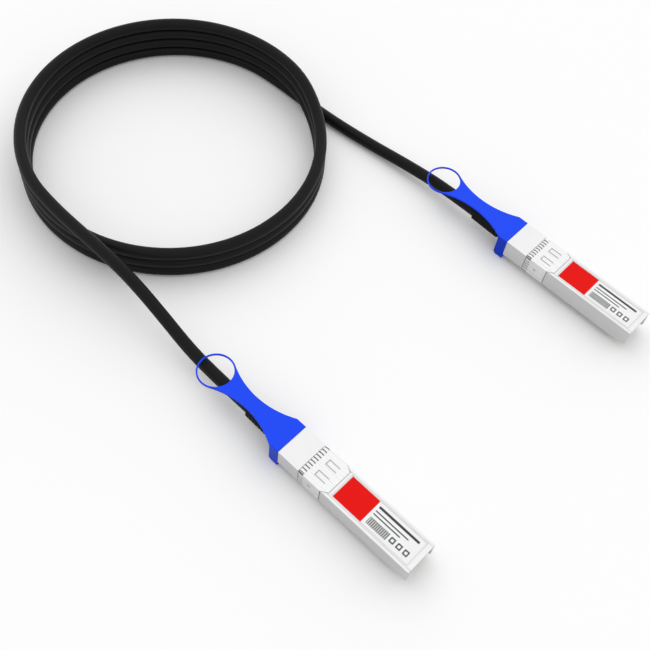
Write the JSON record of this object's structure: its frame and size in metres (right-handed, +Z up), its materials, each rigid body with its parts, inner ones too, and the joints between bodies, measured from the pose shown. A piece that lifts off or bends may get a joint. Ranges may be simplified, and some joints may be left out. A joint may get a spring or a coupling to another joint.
{
  "type": "direct attach copper cable",
  "caption": "Coiled round black cable with a slim metal plug on each end; each plug has a sprung latch and a blue pull tab with a finger ring.",
  "frame": {"origin": "middle of the underside of the near plug's collar, on the surface that the cable lies on", "axes": "+X along both plugs towards their noses, +Z up from the surface, +Y to the near plug's left"},
  "size_m": [0.2501, 0.141, 0.0193],
  "materials": {
    "die_cast": "satin nickel plating on cast zinc",
    "sleeve_steel": "bright tin on stamped steel",
    "lever_steel": "satin plated steel",
    "spring_steel": "plain stamped steel",
    "screw_steel": "plated steel",
    "gold": "hard gold over copper",
    "board": "green solder mask on glass laminate",
    "chip": "black moulded package",
    "ceramic": "fired ceramic",
    "foil": "foil wrap",
    "sticker": "printed film, one end red",
    "tab": "smooth moulded plastic",
    "boot": "soft moulded plastic",
    "jacket": "extruded jacket, soft sheen"
  },
  "bodies": {
    "cable": {"near_housing": "die_cast", "near_lid": "die_cast", "near_label": "sticker", "near_lid_screws": "screw_steel", "near_paddle_board": "board", "near_board_contacts": "gold", "near_memory_chip": "chip", "near_coupling_capacitors": "ceramic", "near_strain_relief": "boot", "near_crimp_ferrule": "screw_steel", "near_cable_end": "jacket", "near_signal_pairs": "foil", "near_conductors": "gold", "near_latch_pin": "spring_steel", "near_latch_leaf": "spring_steel", "near_return_springs": "spring_steel", "near_shielding_sleeve": "sleeve_steel", "far_housing": "die_cast", "far_lid": "die_cast", "far_label": "sticker", "far_lid_screws": "screw_steel", "far_paddle_board": "board", "far_board_contacts": "gold", "far_memory_chip": "chip", "far_coupling_capacitors": "ceramic", "far_strain_relief": "boot", "far_crimp_ferrule": "screw_steel", "far_cable_end": "jacket", "far_signal_pairs": "foil", "far_conductors": "gold", "far_latch_pin": "spring_steel", "far_latch_leaf": "spring_steel", "far_return_springs": "spring_steel", "far_shielding_sleeve": "sleeve_steel", "cable_coil": "jacket", "near_tail": "jacket", "far_tail": "jacket"},
    "near_release": {"near_pull_tab": "tab", "near_release_slider": "spring_steel"},
    "near_latch": {"near_latch_lever": "lever_steel"},
    "far_release": {"far_pull_tab": "tab", "far_release_slider": "spring_steel"},
    "far_latch": {"far_latch_lever": "lever_steel"}
  },
  "joints": [
    {"name": "near_pull", "type": "slide", "parent": "cable", "child": "near_release", "axis": [-1, 0, 0], "range_m": [0, 0.0025], "stiffness_N_per_m": 1200, "springref_m": -0.002, "deforming": ["near_return_springs"]},
    {"name": "near_latch_turn", "type": "hinge", "parent": "cable", "child": "near_latch", "pos_m": [0.0109, 0, 0.0034], "axis": [0, -1, 0], "range_deg": [0, 7.6], "deforming": ["near_latch_leaf"]},
    {"name": "far_pull", "type": "slide", "parent": "cable", "child": "far_release", "axis": [-1, 0, 0], "range_m": [0, 0.0025], "stiffness_N_per_m": 1200, "springref_m": -0.002, "deforming": ["far_return_springs"]},
    {"name": "far_latch_turn", "type": "hinge", "parent": "cable", "child": "far_latch", "pos_m": [0.0098, 0.1268, 0.0034], "axis": [0, -1, 0], "range_deg": [0, 7.6], "deforming": ["far_latch_leaf"]}
  ],
  "couplings": [
    {"joint": "near_latch_turn", "follows": "near_pull", "rad_per_m": 43.98},
    {"joint": "far_latch_turn", "follows": "far_pull", "rad_per_m": 43.98}
  ]
}
